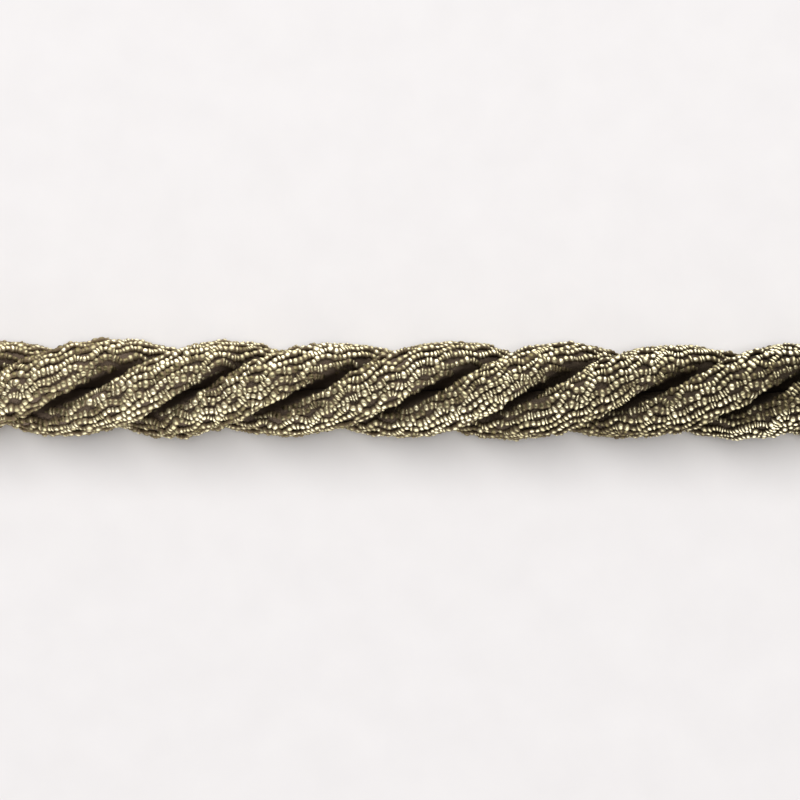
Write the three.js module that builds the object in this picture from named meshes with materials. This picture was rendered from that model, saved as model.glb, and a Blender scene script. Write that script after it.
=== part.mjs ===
// A cut length of three-ply twisted cord, lying straight on a flat surface.
// Each ply is one closed solid: a soft oval bundle of metallised threads, pressed against
// its two neighbours on the inside and rounded on the outside, laid up with an S twist.
// Millimetres. X runs along the cord, +Z is up, and the origin is on the surface,
// under the middle of the cord.

import * as THREE from "three";

// The whole cord
const cordRadius = 3.0; // over the crests of the plies, before they flatten
const layLength = 21.1; // length in which a ply goes once round the cord
const layCount = 4; // lays in this cut length
const cutLength = layLength * layCount;
const pressDepth = 0.2; // how much the lowest crests flatten on the surface
const axisHeight = cordRadius - pressDepth;
const pieceGap = 0.3; // clear space between two plies

// The section of one ply: an oval whose sides are cut back to its third of the circle
const plyCentreRadius = 1.62;
const plyRadialHalf = 1.38;
const plyTangentHalf = 1.7;
const plyInnerRadius = plyCentreRadius - plyRadialHalf;
const wedgeHalf = THREE.MathUtils.degToRad(60);
const gapShift = pieceGap / 2 / Math.cos(wedgeHalf);

// How finely the faceted solids follow the twist
const crestPoints = 16;
const stepsPerLay = 20;

// The three grooves between the plies. Each starts at its own angle round the cord at
// X = 0, measured from the top towards +Y, and wanders a little from an even helix.
const swayLength = 100;
const grooves = [
  { startDeg: -32.0, swayDeg: 0.0, waverDeg: 3.0, waverLength: 17.0, waverAtDeg: 200 },
  { startDeg: 94.7, swayDeg: -6.0, waverDeg: 2.5, waverLength: 14.0, waverAtDeg: 40 },
  { startDeg: 214.3, swayDeg: 2.0, waverDeg: 4.0, waverLength: 19.0, waverAtDeg: 250 },
];

// The plies, and how their thickness swells along the cord. swellAt is where one is fullest.
const plies = [
  { name: "ply_1", swell: 0.1, swellLength: 21.3, swellAt: -18.1, tint: 0xa89c6a },
  { name: "ply_2", swell: 0.07, swellLength: 20.6, swellAt: 7.2, tint: 0xa2976a },
  { name: "ply_3", swell: 0.05, swellLength: 23.0, swellAt: -13.0, tint: 0xac9f70 },
];

const fullTurn = Math.PI * 2;

function wave(x, length, startAngle) {
  return Math.sin((fullTurn * x) / length + startAngle);
}

function grooveAngle(groove, x) {
  const twist = (fullTurn * x) / layLength;
  const sway = groove.swayDeg * wave(x, swayLength, 0);
  const waverStart = THREE.MathUtils.degToRad(groove.waverAtDeg);
  const waver = groove.waverDeg * wave(x, groove.waverLength, waverStart);
  return twist + THREE.MathUtils.degToRad(groove.startDeg + sway + waver);
}

// The angle on the oval where it meets the flank that faces the next ply.
function flankAngle() {
  let low = Math.PI / 2;
  let high = Math.PI;
  for (let round = 0; round < 40; round += 1) {
    const angle = (low + high) / 2;
    const radial = plyCentreRadius + plyRadialHalf * Math.cos(angle);
    const flank = radial * Math.tan(wedgeHalf) - gapShift;
    if (plyTangentHalf * Math.sin(angle) < flank) {
      low = angle;
    } else {
      high = angle;
    }
  }
  return low;
}

// The section's points round the ply, as a distance from the cord's axis and a share of
// the ply's half wedge, from -1 to 1.
function plySection() {
  const points = [];
  const addPoint = (radial, tangent) => {
    const share = Math.atan2(tangent, radial) / wedgeHalf;
    points.push({ radius: Math.hypot(radial, tangent), share });
  };
  const flank = flankAngle();
  for (let i = 0; i <= crestPoints; i += 1) {
    const angle = flank * ((2 * i) / crestPoints - 1);
    addPoint(plyCentreRadius + plyRadialHalf * Math.cos(angle), plyTangentHalf * Math.sin(angle));
  }
  const innerHalf = plyInnerRadius * Math.tan(wedgeHalf) - gapShift;
  addPoint(plyInnerRadius, innerHalf);
  addPoint(plyInnerRadius, -innerHalf);
  return points;
}

// One station of a ply: the section turned to where the ply is at x, and kept above the surface.
function sectionAt(section, ply, lowGroove, highGroove, x) {
  const low = grooveAngle(lowGroove, x);
  const high = grooveAngle(highGroove, x) + (highGroove.startDeg < lowGroove.startDeg ? fullTurn : 0);
  const middle = (low + high) / 2;
  const half = (high - low) / 2;
  const swell = ply.swell * wave(x - ply.swellAt, ply.swellLength, Math.PI / 2);
  const scale = 1 + swell / cordRadius;
  return section.map(({ radius, share }) => {
    const angle = middle + share * half;
    const height = axisHeight + scale * radius * Math.cos(angle);
    return [x, scale * radius * Math.sin(angle), Math.max(height, 0)];
  });
}

// The plane cut across the ply: a fan of triangles round the middle of the section.
function addCutEnd(vertices, triangles, first, count, facesBack) {
  const middle = [0, 0, 0];
  for (let i = 0; i < count; i += 1) {
    vertices[first + i].forEach((value, axis) => {
      middle[axis] += value / count;
    });
  }
  const centre = vertices.length;
  vertices.push(middle);
  for (let i = 0; i < count; i += 1) {
    const here = first + i;
    const next = first + ((i + 1) % count);
    triangles.push(facesBack ? [centre, next, here] : [centre, here, next]);
  }
}

function plyGeometry(ply, lowGroove, highGroove) {
  const section = plySection();
  const count = section.length;
  const steps = stepsPerLay * layCount;
  const vertices = [];
  const triangles = [];
  for (let step = 0; step <= steps; step += 1) {
    const x = cutLength * (step / steps - 0.5);
    vertices.push(...sectionAt(section, ply, lowGroove, highGroove, x));
  }
  for (let step = 0; step < steps; step += 1) {
    for (let i = 0; i < count; i += 1) {
      const here = step * count + i;
      const next = step * count + ((i + 1) % count);
      triangles.push([here, here + count, next + count]);
      triangles.push([here, next + count, next]);
    }
  }
  addCutEnd(vertices, triangles, 0, count, false);
  addCutEnd(vertices, triangles, steps * count, count, true);
  const geometry = new THREE.BufferGeometry();
  geometry.setAttribute("position", new THREE.Float32BufferAttribute(vertices.flat(), 3));
  geometry.setIndex(triangles.flat());
  geometry.computeVertexNormals();
  return geometry;
}

const cord = new THREE.Group();
plies.forEach((ply, i) => {
  const lowGroove = grooves[i];
  const highGroove = grooves[(i + 1) % grooves.length];
  const material = new THREE.MeshStandardMaterial({
    color: ply.tint,
    roughness: 0.42,
    metalness: 0.75,
  });
  const mesh = new THREE.Mesh(plyGeometry(ply, lowGroove, highGroove), material);
  mesh.name = ply.name;
  cord.add(mesh);
});

export default cord;
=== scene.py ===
"""The looks of a cut length of three-ply twisted cord in pale brass metallised yarn.

Each ply is a dark core with fine threads lying on it. A thread is a dark yarn wound with a
narrow metallised strip, so it looks like a string of small bright beads. Everything is
worked out in millimetres from the sizes below and turned into metres as meshes are made.
"""

import math

import bpy
import numpy as np
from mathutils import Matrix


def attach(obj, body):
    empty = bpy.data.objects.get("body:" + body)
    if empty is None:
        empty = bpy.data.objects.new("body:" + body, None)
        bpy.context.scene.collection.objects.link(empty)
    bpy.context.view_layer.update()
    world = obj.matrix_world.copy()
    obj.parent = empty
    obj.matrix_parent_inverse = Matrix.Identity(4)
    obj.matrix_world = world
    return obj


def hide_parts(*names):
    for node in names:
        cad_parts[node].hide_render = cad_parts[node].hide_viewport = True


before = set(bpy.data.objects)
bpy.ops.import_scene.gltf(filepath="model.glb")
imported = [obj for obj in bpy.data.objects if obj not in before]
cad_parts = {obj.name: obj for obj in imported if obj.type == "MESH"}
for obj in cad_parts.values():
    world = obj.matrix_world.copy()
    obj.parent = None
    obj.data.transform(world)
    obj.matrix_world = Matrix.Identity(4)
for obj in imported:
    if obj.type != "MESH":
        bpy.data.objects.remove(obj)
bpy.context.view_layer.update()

MM = 0.001
FULL_TURN = 2 * math.pi

# The whole cord, as in the part's source
CORD_RADIUS = 3.0
LAY_LENGTH = 21.1
LAY_COUNT = 4
CUT_LENGTH = LAY_LENGTH * LAY_COUNT
PRESS_DEPTH = 0.2
AXIS_HEIGHT = CORD_RADIUS - PRESS_DEPTH
PIECE_GAP = 0.3

# The oval section of one ply, cut back at its two flanks where it meets its neighbours
PLY_CENTRE_RADIUS = 1.62
PLY_RADIAL_HALF = 1.38
PLY_TANGENT_HALF = 1.7
WEDGE_HALF = math.radians(60)
GAP_SHIFT = PIECE_GAP / 2 / math.cos(WEDGE_HALF)
THINNEST_HALF = 0.02

# The grooves between the plies: where each starts round the cord and how it wanders
SWAY_LENGTH = 100
GROOVES = [
    {"start": -32.0, "sway": 0.0, "waver": 3.0, "waver_length": 17.0, "waver_at": 200},
    {"start": 94.7, "sway": -6.0, "waver": 2.5, "waver_length": 14.0, "waver_at": 40},
    {"start": 214.3, "sway": 2.0, "waver": 4.0, "waver_length": 19.0, "waver_at": 250},
]

# The plies, and how their thickness swells along the cord
PLIES = [
    {"node": "ply_1", "swell": 0.1, "swell_length": 21.3, "swell_at": -18.1},
    {"node": "ply_2", "swell": 0.07, "swell_length": 20.6, "swell_at": 7.2},
    {"node": "ply_3", "swell": 0.05, "swell_length": 23.0, "swell_at": -13.0},
]

# The fine threads on each ply: their section and spacing, how far they drift round the ply
# for each millimetre along the cord, the pitch of the strip, and how many meshes a ply has
THREAD_HALF_WIDTH = 0.24
THREAD_HALF_HEIGHT = 0.2
THREAD_SPACING = 0.525
THREAD_DRIFT = -0.28
WRAP_PITCH = 0.3
PITCH_SPREAD = 0.12
THREAD_GROUPS = 2

# One turn of the strip: a dip, then a rounded crest. "near" and "far" are the places of the
# rings within the turn at the two ends of the cord, and the reaches are the thread's size
# there. The last value is how far the strip covers the dark yarn, which shows in the dips;
# the section's own values multiply it with painted shade. The crests are fuller at the
# near end than at the far one.
WRAP_RINGS = [
    {"near": 0.0, "far": 0.0, "near_reach": 0.7, "far_reach": 0.55, "cover_and_shade": 0.0},
    {"near": 0.2, "far": 0.31, "near_reach": 0.9, "far_reach": 0.87, "cover_and_shade": 0.8},
    {"near": 0.5, "far": 0.5, "near_reach": 1.0, "far_reach": 1.0, "cover_and_shade": 1.0},
    {"near": 0.8, "far": 0.69, "near_reach": 0.9, "far_reach": 0.87, "cover_and_shade": 0.8},
]
RINGS_PER_TURN = len(WRAP_RINGS)

# How uneven the turns are, with the largest random size as a multiple of the spread
TURN_SIZE_SPREAD = 0.17
TURN_LENGTH_SPREAD = 0.5
TURN_SWAY = 0.035
LARGEST_RANDOM = 1.7
TURN_TONE_SPREAD = 0.75
THREAD_TONE_SPREAD = 0.55
STRIP_SLANT = {"near": -0.35, "far": 0.1}
END_TURNS = 2
FEWEST_TURNS = 2

# The thread's section, a little flat on its outward side, as shares of its half width and
# half height. Its last value is painted shade: the thread's sides and underside get the dark
# yarn colour, as where neighbouring threads shade them.
THREAD_SECTION = [
    {"across": -0.65, "out": -0.76, "cover_and_shade": 0.0},
    {"across": -1.0, "out": 0.05, "cover_and_shade": 0.3},
    {"across": -0.78, "out": 0.64, "cover_and_shade": 0.65},
    {"across": -0.36, "out": 0.96, "cover_and_shade": 1.0},
    {"across": 0.36, "out": 0.96, "cover_and_shade": 1.0},
    {"across": 0.78, "out": 0.64, "cover_and_shade": 0.65},
    {"across": 1.0, "out": 0.05, "cover_and_shade": 0.3},
    {"across": 0.65, "out": -0.76, "cover_and_shade": 0.0},
]

# Where a thread leaves the outside of its ply and sinks into the groove at either side
LOW_SINK = {"start": math.radians(71), "end": math.radians(126)}
HIGH_SINK = {"start": math.radians(73), "end": math.radians(130)}
SINK_DEPTH = 0.5

# The photograph's framing
PHOTO_PX = 800
MM_PER_PX = 0.0625
CORD_PX_ABOVE_CENTRE = 9.8
CORD_DROP_DEG = 0.358
SEEN_HALF = PHOTO_PX * MM_PER_PX / 2
LENS_MM = 100
SENSOR_MM = 36
CLIP_START = 0.005


def add_camera():
    """Looks straight down on the cord from the distance that frames the photograph's 50 mm."""
    data = bpy.data.cameras.new("photo_camera")
    data.lens = LENS_MM
    data.sensor_width = SENSOR_MM
    data.clip_start = CLIP_START
    view_width = PHOTO_PX * MM_PER_PX
    distance = view_width * LENS_MM / SENSOR_MM
    camera = bpy.data.objects.new("photo_camera", data)
    camera.location = (0, -CORD_PX_ABOVE_CENTRE * MM_PER_PX * MM, (AXIS_HEIGHT + distance) * MM)
    camera.rotation_euler = (0, 0, math.radians(CORD_DROP_DEG))
    bpy.context.scene.collection.objects.link(camera)
    bpy.context.scene.camera = camera


add_camera()


# Where the plies lie

def groove_angle(groove, x):
    """The angle of a groove round the cord at x, from the top towards +Y, in radians."""
    twist = FULL_TURN * x / LAY_LENGTH
    sway = groove["sway"] * np.sin(FULL_TURN * x / SWAY_LENGTH)
    waver_start = math.radians(groove["waver_at"])
    waver = groove["waver"] * np.sin(FULL_TURN * x / groove["waver_length"] + waver_start)
    return twist + np.radians(groove["start"] + sway + waver)


def place_on_ply(index, x, radial, tangent):
    """Turns points of a ply's own section, at stations x, into points of the cord."""
    ply = PLIES[index]
    low_groove = GROOVES[index]
    high_groove = GROOVES[(index + 1) % len(GROOVES)]
    low = groove_angle(low_groove, x)
    high = groove_angle(high_groove, x)
    if high_groove["start"] < low_groove["start"]:
        high = high + FULL_TURN
    share = np.arctan2(tangent, radial) / WEDGE_HALF
    angle = (low + high) / 2 + share * (high - low) / 2
    swell = ply["swell"] * np.cos(FULL_TURN * (x - ply["swell_at"]) / ply["swell_length"])
    radius = np.hypot(radial, tangent) * (1 + swell / CORD_RADIUS)
    height = AXIS_HEIGHT + radius * np.cos(angle)
    return np.stack([x + 0 * radius, radius * np.sin(angle), height], axis=-1)


def section_point(angle, inset):
    """A point of the ply's oval, drawn in by inset all round, as radial and tangent."""
    radial = PLY_CENTRE_RADIUS + (PLY_RADIAL_HALF - inset) * np.cos(angle)
    tangent = (PLY_TANGENT_HALF - inset) * np.sin(angle)
    flank = radial * math.tan(WEDGE_HALF) - GAP_SHIFT - inset / math.cos(WEDGE_HALF)
    flank = np.maximum(flank, THINNEST_HALF)
    return radial, np.clip(tangent, -flank, flank)


# Mesh helpers

def make_mesh(name, points, faces):
    """A smooth mesh from points in millimetres."""
    mesh = bpy.data.meshes.new(name)
    mesh.from_pydata((np.asarray(points) * MM).tolist(), [], faces)
    mesh.validate()
    mesh.polygons.foreach_set("use_smooth", np.ones(len(mesh.polygons), bool))
    mesh.update()
    piece = bpy.data.objects.new(name, mesh)
    bpy.context.scene.collection.objects.link(piece)
    return piece


# The dark cores of the plies, drawn in from the ply's section except at its inner tip, where
# the three cores meet on the cord's axis

CORE_INSET = 0.27
CORE_TIP_INSET = -0.22
CORE_TIP_POWER = 8
CORE_FLOOR = 0.16
CORE_RECESS = 0.12
CORE_STEPS = 240
CORE_POINTS = 28


def core_points(index):
    """The stations of one ply's core, each a ring of points, with x along the first axis."""
    half = CUT_LENGTH / 2 - CORE_RECESS
    x = np.linspace(-half, half, CORE_STEPS + 1)[:, None]
    around = np.linspace(-math.pi, math.pi, CORE_POINTS, endpoint=False)[None, :]
    tip = np.clip(-np.cos(around), 0, 1) ** CORE_TIP_POWER
    inset = CORE_INSET * (1 - tip) + CORE_TIP_INSET * tip
    radial, tangent = section_point(around, inset)
    points = place_on_ply(index, x, radial, tangent)
    points[..., 2] = np.maximum(points[..., 2], CORE_FLOOR)
    return points


def add_cores():
    """All three cores as one mesh, which stands for the cord's own solids."""
    points = []
    faces = []
    for index in range(len(PLIES)):
        rings = core_points(index)
        first = len(points) * rings.shape[0] * rings.shape[1]
        for i in range(CORE_STEPS):
            for k in range(CORE_POINTS):
                here = first + i * CORE_POINTS + k
                beside = first + i * CORE_POINTS + (k + 1) % CORE_POINTS
                faces.append((here, here + CORE_POINTS, beside + CORE_POINTS, beside))
        last = first + CORE_STEPS * CORE_POINTS
        faces.append(tuple(range(first, first + CORE_POINTS)))
        faces.append(tuple(reversed(range(last, last + CORE_POINTS))))
        points.append(rings.reshape(-1, 3))
    return make_mesh("cord_cores", np.concatenate(points), faces)


# The wavy field that pushes neighbouring threads about together

rng = np.random.default_rng(2637)

# The fields: the number of waves, and their usual lengths along and round the ply
FIELDS = {
    "push": {"count": 9, "along_length": 1.9, "around_length": 6.0},
    "ride": {"count": 7, "along_length": 1.4, "around_length": 1.0},
    "patch": {"count": 7, "along_length": 4.5, "around_length": 3.0},
}
ALONG_SPREAD = (0.75, 1.6)
AROUND_SPREAD = (0.8, 2.0)

# The waves of a single thread
OWN_WAVES = 3
OWN_SPREAD = (0.7, 1.8)
OWN_PEAK = 1.7


class WaveField:
    """A smooth field over the ply's surface, made of a few sine waves of set lengths."""

    def __init__(self, count, along_length, around_length):
        self.along = FULL_TURN / (along_length * rng.uniform(*ALONG_SPREAD, count))
        self.around = FULL_TURN / (around_length * rng.uniform(*AROUND_SPREAD, count))
        self.around *= rng.choice([-1, 1], count)
        self.start = rng.uniform(0, FULL_TURN, count)
        self.share = 1 / math.sqrt(count / 2)

    def at(self, x, u):
        """The field's height at x along and u around, about -1 to 1."""
        total = np.zeros(np.broadcast(x, u).shape)
        for along, around, start in zip(self.along, self.around, self.start):
            total += np.sin(along * x + around * u + start)
        return total * self.share


PERIMETER_STEPS = 720


def perimeter_table():
    """Angle on the inset oval against the way round it, from the crest."""
    angle = np.linspace(-math.pi, math.pi, PERIMETER_STEPS + 1)
    radial_half = PLY_RADIAL_HALF - THREAD_HALF_HEIGHT
    tangent_half = PLY_TANGENT_HALF - THREAD_HALF_HEIGHT
    step = np.hypot(
        np.diff(radial_half * np.cos(angle)), np.diff(tangent_half * np.sin(angle))
    )
    way = np.concatenate([[0], np.cumsum(step)])
    return angle, way - way[-1] / 2


OVAL_ANGLE, OVAL_WAY = perimeter_table()
PERIMETER = OVAL_WAY[-1] * 2
THREAD_COUNT = int(round(PERIMETER / THREAD_SPACING))

# How far threads are pushed sideways and ride up and down, together and each by itself
WAVE_SIZE = 0.105
WOBBLE_SIZE = 0.085
WOBBLE_LENGTH = 1.6
RIDE_SIZE = 0.045
OWN_RIDE_SIZE = 0.045
OWN_RIDE_LENGTH = 2.5
CENTRE_STEP = 0.06
SHORTEST_STRETCH = 1.2
MOST_LAPS = 4

# A thread's outward side is away from a line at this share of its ply's own radius, and it
# lies on the floor at this share of its half height
OUTWARD_FROM = 0.8
FLOOR_REST = 0.97

# How much brighter the strip is on the crest of a ply, in patches, and towards the far end
# On a ply's crest the strip is painted lighter and down its flanks darker: painted light and
# painted shade.
CREST_PAINTED_LIGHT = 0.3
CREST_EVEN = 0.65
PATCH_SHINE = 0.14
FAR_SHINE = 0.48


def own_waver(x, length):
    """A waver of one thread by itself, about -1 to 1."""
    lengths = length * rng.uniform(*OWN_SPREAD, OWN_WAVES)
    starts = rng.uniform(0, FULL_TURN, OWN_WAVES)
    return sum(np.sin(FULL_TURN * x / a + b) for a, b in zip(lengths, starts)) / OWN_PEAK


def thread_angle(fields, x, u):
    """Where round its ply a thread lies, from its even way u round it, pushed about."""
    wobble = WOBBLE_SIZE * own_waver(x, WOBBLE_LENGTH)
    pushed = u + WAVE_SIZE * fields["push"].at(x, u) + wobble
    return np.interp(pushed, OVAL_WAY, OVAL_ANGLE)


def thread_crest_light_and_patches(fields, x, u, angle):
    """How far a thread's strip is brighter than most: painted light on the ply's crest, painted
    shade down its flanks, and random patches.
    """
    patch = PATCH_SHINE * fields["patch"].at(x, u)
    return CREST_PAINTED_LIGHT * (np.cos(angle) - CREST_EVEN) + patch


def thread_centre(index, fields, x, u, angle):
    """The middle line of a thread on ply index, and which way is out."""
    own_ride = OWN_RIDE_SIZE * own_waver(x, OWN_RIDE_LENGTH)
    low = (-angle - LOW_SINK["start"]) / (LOW_SINK["end"] - LOW_SINK["start"])
    high = (angle - HIGH_SINK["start"]) / (HIGH_SINK["end"] - HIGH_SINK["start"])
    sunk = np.clip(np.maximum(low, high), 0, 1)
    inset = THREAD_HALF_HEIGHT + SINK_DEPTH * sunk**2
    radial, tangent = section_point(angle, inset)
    ride = RIDE_SIZE * fields["ride"].at(x, u) + own_ride
    radial = radial + ride * np.cos(angle)
    tangent = tangent + ride * np.sin(angle)
    centre = place_on_ply(index, x, radial, tangent)
    inner = place_on_ply(index, x, 0 * x + PLY_CENTRE_RADIUS * OUTWARD_FROM, 0 * x)
    outward = centre - inner
    centre[..., 2] = np.maximum(centre[..., 2], THREAD_HALF_HEIGHT * FLOOR_REST)
    return centre, outward


def unit(vectors):
    return vectors / np.linalg.norm(vectors, axis=-1, keepdims=True)


def along(values, way, at):
    """The vectors given at way, read off at other places."""
    return np.stack([np.interp(at, way, values[:, axis]) for axis in range(3)], axis=-1)


def per_side(key):
    return np.array([side[key] for side in THREAD_SECTION])


def per_ring(key, ring):
    return np.array([row[key] for row in WRAP_RINGS])[ring % RINGS_PER_TURN]


def near_to_far(near, far, place):
    """Goes from near at the near end of the cord to far at its far end."""
    return near * (1 - place) + far * place


def way_round():
    """How far round the thread each side lies from the first, from 0 to 1."""
    angle = np.arctan2(per_side("across"), per_side("out")) % FULL_TURN
    start = angle[0]
    return ((angle - start) % FULL_TURN) / FULL_TURN


WAY_ROUND = way_round()


def way_along(centre):
    """The way along a middle line to each of its points."""
    step = np.linalg.norm(np.diff(centre, axis=0), axis=1)
    return np.concatenate([[0], np.cumsum(step)])


def section_axes(centre, outward):
    """The directions out of the ply and across the thread at each point of a middle line."""
    tangent = unit(np.gradient(centre, axis=0))
    normal = unit(outward - tangent * np.sum(outward * tangent, axis=1, keepdims=True))
    return normal, np.cross(tangent, normal)


def turn_starts(turns, whole_way):
    """Where each turn of the strip starts along a thread, with uneven lengths."""
    lengths = 1 + TURN_LENGTH_SPREAD * rng.uniform(-1, 1, turns + END_TURNS)
    starts = np.concatenate([[0], np.cumsum(lengths)])
    return starts * (whole_way / starts[-1])


def uneven(spread, turns):
    """One random number for each turn, about 0 and of the size of spread."""
    return spread * np.clip(rng.standard_normal(turns + 1), -LARGEST_RANDOM, LARGEST_RANDOM)


def turn_tones(turn, turns):
    """The random brightness of the strip at each ring: its turn's own and its thread's."""
    own = TURN_TONE_SPREAD * rng.uniform(-0.5, 0.5, turns + 1)[turn]
    return own + THREAD_TONE_SPREAD * rng.uniform(-0.5, 0.5) + 0.5


class TubeBuilder:
    """Gathers wound threads into one mesh.

    A thread is a grid of rings by sides. The sides are shifted along the thread by the
    strip's slant. The seam is underneath, where it joins each ring to the one a turn on.
    """

    def __init__(self):
        self.points = []
        self.loops = []
        self.sizes = []
        self.cover_and_shade = []
        self.tone_and_painted_light = []
        self.count = 0

    def add(self, centre, outward, pitch, crest_light_and_patches):
        """A thread along centre, wound with a strip whose turns are pitch apart."""
        way = way_along(centre)
        turns = int(way[-1] / pitch) - END_TURNS
        if turns < FEWEST_TURNS:
            return
        starts = turn_starts(turns, way[-1])
        normal, across = section_axes(centre, outward)
        ring = np.arange(turns * RINGS_PER_TURN + 1)
        turn = ring // RINGS_PER_TURN
        place = np.interp(pitch * turn, way, centre[:, 0]) / CUT_LENGTH + 0.5
        crest = near_to_far(per_ring("near", ring), per_ring("far", ring), place)
        slant = near_to_far(STRIP_SLANT["near"], STRIP_SLANT["far"], place)
        wound = (turn + crest + END_TURNS / 2)[:, None] + slant[:, None] * WAY_ROUND[None, :]
        at = np.interp(wound, np.arange(len(starts)), starts)
        size = 1 + uneven(TURN_SIZE_SPREAD, turns)
        reach = near_to_far(per_ring("near_reach", ring), per_ring("far_reach", ring), place)
        reach = (reach * size[turn])[:, None, None]
        rise = THREAD_HALF_HEIGHT * per_side("out")[:, None] * along(normal, way, at)
        width = THREAD_HALF_WIDTH * per_side("across")[:, None] * along(across, way, at)
        sway = uneven(TURN_SWAY, turns)[turn][:, None, None]
        grid = along(centre, way, at) + reach * (rise + width) + sway * along(across, way, at)
        grid[..., 2] = np.maximum(grid[..., 2], 0)
        # Dark yarn in the dips between turns, times painted shade on the thread's sides and
        # underside.
        cover_and_shade = per_ring("cover_and_shade", ring)[:, None] * per_side("cover_and_shade")[None, :]
        # Random tone of the turn and the thread, lighter towards the far end; the next line adds
        # painted light on the ply's crest, painted shade down its flanks, and random patches.
        tone_and_painted_light = turn_tones(turn, turns) + FAR_SHINE * (place - 0.5)
        tone_and_painted_light = np.clip(tone_and_painted_light + np.interp(pitch * turn, way, crest_light_and_patches), 0, 1)
        self._add_grid(grid, cover_and_shade, np.broadcast_to(tone_and_painted_light[:, None], cover_and_shade.shape))

    def _add_grid(self, grid, cover_and_shade, tone_and_painted_light):
        rings, sides = cover_and_shade.shape
        per_turn = RINGS_PER_TURN
        first = self.count
        near_end = grid[: per_turn + 1].mean(axis=(0, 1))
        far_end = grid[-per_turn - 1:].mean(axis=(0, 1))
        self.points += [grid.reshape(-1, 3), np.stack([near_end, far_end])]
        self.cover_and_shade += [cover_and_shade.ravel(), np.zeros(2)]
        self.tone_and_painted_light += [tone_and_painted_light.ravel(), np.zeros(2)]
        self.count += rings * sides + 2

        def index(i, k):
            return first + i * sides + k

        i = np.arange(rings - 1)[:, None]
        k = np.arange(sides - 1)[None, :]
        quads = [index(i, k), index(i + 1, k), index(i + 1, k + 1), index(i, k + 1)]
        self._add_faces(np.stack(quads, axis=-1).reshape(-1, 4))
        i = np.arange(rings - 1 - per_turn)
        on = i + per_turn
        last = sides - 1
        seam = [index(i, last), index(i + 1, last), index(on + 1, 0), index(on, 0)]
        self._add_faces(np.stack(seam, axis=-1))
        near = [index(0, k) for k in range(sides)] + [index(i, 0) for i in range(per_turn, 0, -1)]
        top = rings - 1
        far = [index(top, k) for k in range(sides)]
        far = [index(top - i, last) for i in range(per_turn, 0, -1)] + far[::-1]
        self._add_cap(near, first + rings * sides)
        self._add_cap(far, first + rings * sides + 1)

    def _add_cap(self, loop, middle):
        here = np.array(loop)
        self._add_faces(np.stack([np.full(len(here), middle), here, np.roll(here, -1)], axis=-1))

    def _add_faces(self, faces):
        self.loops.append(faces[:, ::-1].ravel())
        self.sizes.append(np.full(len(faces), faces.shape[1]))

    def build(self, name):
        """Makes the mesh in one go from the gathered grids."""
        points = np.concatenate(self.points) * MM
        loops = np.concatenate(self.loops)
        sizes = np.concatenate(self.sizes)
        starts = np.concatenate([[0], np.cumsum(sizes)[:-1]])
        mesh = bpy.data.meshes.new(name)
        mesh.vertices.add(len(points))
        mesh.vertices.foreach_set("co", points.astype(np.float32).ravel())
        mesh.loops.add(len(loops))
        mesh.loops.foreach_set("vertex_index", loops.astype(np.int32))
        mesh.polygons.add(len(sizes))
        mesh.polygons.foreach_set("loop_start", starts.astype(np.int32))
        mesh.polygons.foreach_set("use_smooth", np.ones(len(sizes), bool))
        mesh.update(calc_edges=True)
        for key, values in (("cover_and_shade", self.cover_and_shade), ("tone_and_painted_light", self.tone_and_painted_light)):
            layer = mesh.attributes.new(key, "FLOAT", "POINT")
            layer.data.foreach_set("value", np.concatenate(values).astype(np.float32))
        piece = bpy.data.objects.new(name, mesh)
        bpy.context.scene.collection.objects.link(piece)
        return piece


def thread_stretches(start):
    """The stretches of x in which a thread that starts at way start shows outside."""
    low_reach = np.interp(-LOW_SINK["end"], OVAL_ANGLE, OVAL_WAY)
    high_reach = np.interp(HIGH_SINK["end"], OVAL_ANGLE, OVAL_WAY)
    half = CUT_LENGTH / 2 + WRAP_PITCH
    stretches = []
    for lap in range(-MOST_LAPS, MOST_LAPS + 1):
        even = start + lap * PERIMETER
        ends = sorted([(high_reach - even) / THREAD_DRIFT, (low_reach - even) / THREAD_DRIFT])
        low = max(ends[0], -half)
        high = min(ends[1], half)
        if high - low > SHORTEST_STRETCH:
            stretches.append((even, low, high))
    return stretches


# The inner threads of a ply, which show only at its cut ends: down its two flanks to the
# middle of the cord, then two rings inside, each from one angle to another in degrees
INNER_ROWS = [
    {"inset": 0.2, "count": 7, "first": 126, "last": 234},
    {"inset": 0.6, "count": 9, "first": 0, "last": 320},
    {"inset": 1.05, "count": 4, "first": 20, "last": 290},
]
STUB_LENGTH = 2.0
STUB_SPREAD = 0.12
STUB_RANGE = (-1, 0.4)
STUB_SHIFT = 0.15


def add_stubs(index, builder):
    """Short inner threads at both ends of a ply, so that its cut shows a bundle."""
    for end in (-1, 1):
        for row in INNER_ROWS:
            for number in range(row["count"]):
                stop = CUT_LENGTH / 2 + WRAP_PITCH + STUB_SPREAD * rng.uniform(*STUB_RANGE)
                x = np.sort(end * np.arange(stop - STUB_LENGTH, stop, CENTRE_STEP))
                shift = rng.uniform(-STUB_SHIFT, STUB_SHIFT)
                share = (number + shift) / (row["count"] - 1)
                angle = math.radians(row["first"] + share * (row["last"] - row["first"]))
                radial, tangent = section_point(angle, row["inset"])
                centre = place_on_ply(index, x, radial + 0 * x, tangent + 0 * x)
                outward = centre - place_on_ply(index, x, 0 * x, 0 * x)
                builder.add(centre, outward, WRAP_PITCH, 0 * x)


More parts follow.
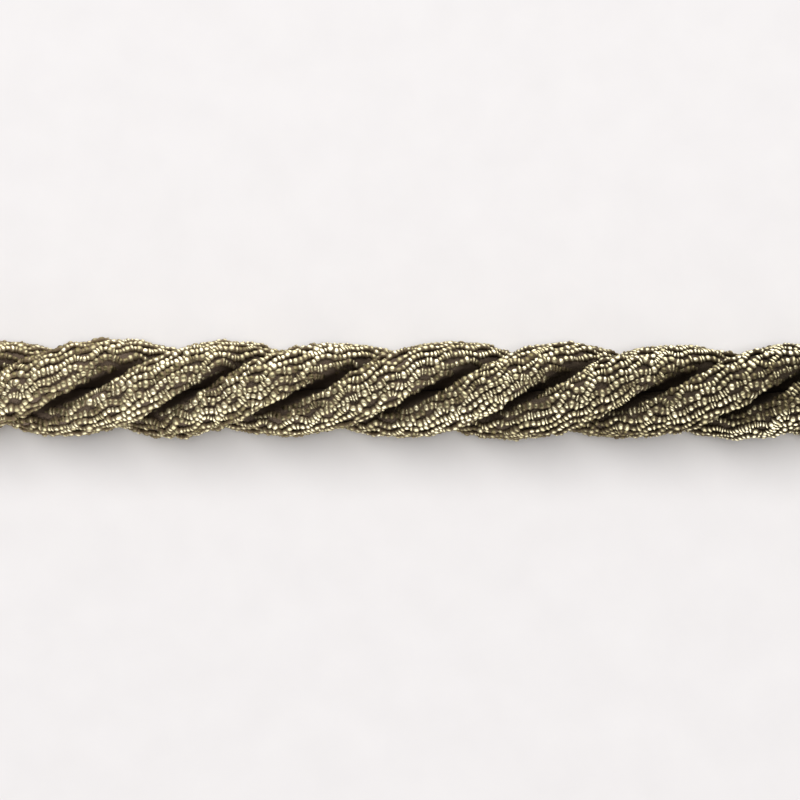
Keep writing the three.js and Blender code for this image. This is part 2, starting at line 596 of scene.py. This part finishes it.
def add_threads(index):
    """The wound threads that show on one ply, in a few joined meshes."""
    fields = {key: WaveField(**sizes) for key, sizes in FIELDS.items()}
    builders = [TubeBuilder() for _ in range(THREAD_GROUPS)]
    for number in range(THREAD_COUNT):
        start = PERIMETER * (number / THREAD_COUNT - 0.5)
        pitch = WRAP_PITCH * rng.uniform(1 - PITCH_SPREAD, 1 + PITCH_SPREAD)
        for even, low, high in thread_stretches(start):
            x = np.arange(low, high, CENTRE_STEP)
            u = even + THREAD_DRIFT * x
            angle = thread_angle(fields, x, u)
            centre, outward = thread_centre(index, fields, x, u, angle)
            crest_light_and_patches = thread_crest_light_and_patches(fields, x, u, angle)
            builders[number % THREAD_GROUPS].add(centre, outward, pitch, crest_light_and_patches)
    add_stubs(index, builders[0])
    name = PLIES[index]["node"]
    return [b.build(f"{name}_threads_{g + 1}") for g, b in enumerate(builders)]


# Materials: each ramp is a list of places and colours

METAL_RAMP = [
    (0.0, (0.085, 0.071, 0.036)),
    (0.45, (0.315, 0.281, 0.17)),
    (1.0, (0.51, 0.467, 0.32)),
]
YARN_ALONG_CORD = [(0.0, (0.095, 0.068, 0.040)), (1.0, (0.028, 0.020, 0.011))]
# The core's dark colour is partly painted shade: it stands in for the deeper threads lying in
# shadow, and its lightest stop makes flecks for their dim beads.
CORE_RAMP_NEAR = [
    (0.3, (0.050, 0.034, 0.026)),
    (0.6, (0.135, 0.097, 0.069)),
    (0.75, (0.20, 0.16, 0.10)),
]
CORE_RAMP_FAR = [
    (0.3, (0.013, 0.009, 0.006)),
    (0.6, (0.046, 0.033, 0.020)),
    (0.75, (0.12, 0.10, 0.06)),
]
BOARD_RAMP = [(0.2, (0.66, 0.645, 0.65)), (0.8, (0.69, 0.675, 0.68))]

# The value at which the strip starts to cover the dark yarn, at both ends, and fully covers it
COVER_FROM = {"near": 0.39, "far": 0.48}
COVER_FULL = 0.84
YARN_ROUGHNESS = 0.75
METAL_ROUGHNESS = 0.38
CORE_ROUGHNESS = 0.85
BOARD_ROUGHNESS = 0.9
FIBRE = {"Scale": 2500, "Detail": 4}
BOARD_GRAIN = {"Scale": 900, "Detail": 3}


def new_material(name):
    material = bpy.data.materials.new(name)
    material.use_nodes = True
    nodes = material.node_tree.nodes
    return material, nodes, material.node_tree.links, nodes["Principled BSDF"]


def noise(nodes, sizes):
    node = nodes.new("ShaderNodeTexNoise")
    for key, value in sizes.items():
        node.inputs[key].default_value = value
    return node


def mixed_colour(nodes, links, factor, first, second):
    """The colour first where factor is 0 and second where it is 1."""
    node = nodes.new("ShaderNodeMix")
    node.data_type = "RGBA"
    links.new(factor, node.inputs["Factor"])
    links.new(first, node.inputs["A"])
    links.new(second, node.inputs["B"])
    return node.outputs["Result"]


def ramp(nodes, stops):
    node = nodes.new("ShaderNodeValToRGB")
    elements = node.color_ramp.elements
    while len(elements) < len(stops):
        elements.new(0.5)
    for element, (place, colour) in zip(elements, stops):
        element.position = place
        element.color = (*colour, 1)
    return node


def along_cord(nodes, links):
    """0 at the near end of the cord, where the yarn is browner, to 1 at the far end."""
    place = nodes.new("ShaderNodeTexCoord")
    axes = nodes.new("ShaderNodeSeparateXYZ")
    links.new(place.outputs["Object"], axes.inputs["Vector"])
    share = nodes.new("ShaderNodeMapRange")
    share.inputs["From Min"].default_value = -SEEN_HALF * MM
    share.inputs["From Max"].default_value = SEEN_HALF * MM
    links.new(axes.outputs["X"], share.inputs["Value"])
    return share.outputs["Result"]


def strip_material():
    """Pale brass metallised strip on turns, dark yarn in dips, painted shade on threads' sides.
    """
    material, nodes, links, shader = new_material("metallised_strip")
    cover_and_shade = nodes.new("ShaderNodeAttribute")
    cover_and_shade.attribute_name = "cover_and_shade"
    tone_and_painted_light = nodes.new("ShaderNodeAttribute")
    tone_and_painted_light.attribute_name = "tone_and_painted_light"
    metal = ramp(nodes, METAL_RAMP)
    links.new(tone_and_painted_light.outputs["Fac"], metal.inputs["Fac"])
    share = along_cord(nodes, links)
    edge = nodes.new("ShaderNodeMapRange")
    edge.inputs["To Min"].default_value = COVER_FROM["near"]
    edge.inputs["To Max"].default_value = COVER_FROM["far"]
    links.new(share, edge.inputs["Value"])
    # Low values give dark, rough yarn: the dips between turns, and painted shade on the threads'
    # sides and underside.
    cover = nodes.new("ShaderNodeMapRange")
    cover.inputs["From Max"].default_value = COVER_FULL
    links.new(edge.outputs["Result"], cover.inputs["From Min"])
    links.new(cover_and_shade.outputs["Fac"], cover.inputs["Value"])
    covered_and_shaded = cover.outputs["Result"]
    yarn = ramp(nodes, YARN_ALONG_CORD)
    links.new(share, yarn.inputs["Fac"])
    colour = mixed_colour(nodes, links, covered_and_shaded, yarn.outputs["Color"], metal.outputs["Color"])
    links.new(colour, shader.inputs["Base Color"])
    links.new(covered_and_shaded, shader.inputs["Metallic"])
    rough = nodes.new("ShaderNodeMapRange")
    rough.inputs["To Min"].default_value = YARN_ROUGHNESS
    rough.inputs["To Max"].default_value = METAL_ROUGHNESS
    links.new(covered_and_shaded, rough.inputs["Value"])
    links.new(rough.outputs["Result"], shader.inputs["Roughness"])
    shader.inputs["Specular Tint"].default_value = (0.4, 0.33, 0.24, 1)
    shader.inputs["Specular IOR Level"].default_value = 0.25
    return material


def core_material():
    """The dark purple-brown yarn between and under the threads, partly painted shade for the
    deeper threads.
    """
    material, nodes, links, shader = new_material("dark_core_yarn_and_shade")
    fibre = noise(nodes, FIBRE)
    near = ramp(nodes, CORE_RAMP_NEAR)
    far = ramp(nodes, CORE_RAMP_FAR)
    links.new(fibre.outputs["Fac"], near.inputs["Fac"])
    links.new(fibre.outputs["Fac"], far.inputs["Fac"])
    share = along_cord(nodes, links)
    colour = mixed_colour(nodes, links, share, near.outputs["Color"], far.outputs["Color"])
    links.new(colour, shader.inputs["Base Color"])
    shader.inputs["Roughness"].default_value = CORE_ROUGHNESS
    shader.inputs["Specular IOR Level"].default_value = 0.15
    bump = nodes.new("ShaderNodeBump")
    bump.inputs["Strength"].default_value = 0.6
    bump.inputs["Distance"].default_value = 0.0001
    links.new(fibre.outputs["Fac"], bump.inputs["Height"])
    links.new(bump.outputs["Normal"], shader.inputs["Normal"])
    return material


def floor_material():
    """Plain pale matt board."""
    material, nodes, links, shader = new_material("pale_board")
    grain = noise(nodes, BOARD_GRAIN)
    colour = ramp(nodes, BOARD_RAMP)
    links.new(grain.outputs["Fac"], colour.inputs["Fac"])
    links.new(colour.outputs["Color"], shader.inputs["Base Color"])
    shader.inputs["Roughness"].default_value = BOARD_ROUGHNESS
    return material


# Floor and light, in metres and watts. The lights on the floor make the photograph's paper
# and shadow, and those on the cord make its glints.

FLOOR_HALF = 1.5
LIGHTS = [
    {"name": "key_light", "lit": "floor", "place": (-0.05, 0.24, 0.66),
     "size": (0.32, 0.7), "power": 5.1},
    {"name": "overhead_light", "lit": "floor", "place": (0.04, 0, 0.85),
     "size": (0.2, 0.2), "power": 1.25},
    {"name": "soft_light_far", "lit": "cord", "place": (0.07, 0.62, 0.15),
     "size": (1.1, 1.5), "power": 27.2},
    {"name": "soft_light_near", "lit": "cord", "place": (0.07, -0.56, 0.17),
     "size": (1.1, 1.1), "power": 15.6},
    {"name": "soft_light_top", "lit": "cord", "place": (0.07, 0, 0.7),
     "size": (0.9, 0.8), "power": 0.4},
]
STUDIO_COLOUR = (1.0, 0.97, 0.94, 1)
STUDIO_STRENGTH = 0.36


def add_floor():
    """A board that lets the side lights reach the cord from below, as pale paper's glow does."""
    corners = [(-1, -1), (1, -1), (1, 1), (-1, 1)]
    points = [(x * FLOOR_HALF / MM, y * FLOOR_HALF / MM, 0) for x, y in corners]
    floor = make_mesh("floor", points, [(0, 1, 2, 3)])
    floor.data.materials.append(floor_material())
    floor.visible_glossy = False
    floor.visible_shadow = False
    return floor


def add_area_light(settings):
    """A soft light aimed at the middle of the cord."""
    name = settings["name"]
    data = bpy.data.lights.new(name, "AREA")
    data.shape = "RECTANGLE"
    data.size, data.size_y = settings["size"]
    data.energy = settings["power"]
    light = bpy.data.objects.new(name, data)
    light.location = settings["place"]
    light.rotation_euler = (-light.location).to_track_quat("-Z", "Y").to_euler()
    bpy.context.scene.collection.objects.link(light)
    return light


def light_only(light, pieces):
    """Lets a light reach only these pieces. All pieces still cast its shadows."""
    lit = bpy.data.collections.new(f"lit_by_{light.name}")
    for piece in pieces:
        lit.objects.link(piece)
    light.light_linking.receiver_collection = lit


def add_lights(cord_pieces, floor):
    lit = {"cord": cord_pieces, "floor": [floor]}
    for settings in LIGHTS:
        light_only(add_area_light(settings), lit[settings["lit"]])


def add_studio():
    """The even light all round."""
    world = bpy.data.worlds.new("studio")
    world.use_nodes = True
    background = world.node_tree.nodes["Background"]
    background.inputs["Color"].default_value = STUDIO_COLOUR
    background.inputs["Strength"].default_value = STUDIO_STRENGTH
    bpy.context.scene.world = world


def main():
    bpy.context.scene.view_settings.view_transform = "Standard"
    cores = add_cores()
    cores.data.materials.append(core_material())
    strip = strip_material()
    threads = []
    for index in range(len(PLIES)):
        for piece in add_threads(index):
            piece.data.materials.append(strip)
            threads.append(piece)
    for piece in [cores, *threads]:
        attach(piece, "root")
    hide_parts(*[ply["node"] for ply in PLIES])
    floor = add_floor()
    add_lights([cores, *threads], floor)
    add_studio()


main()
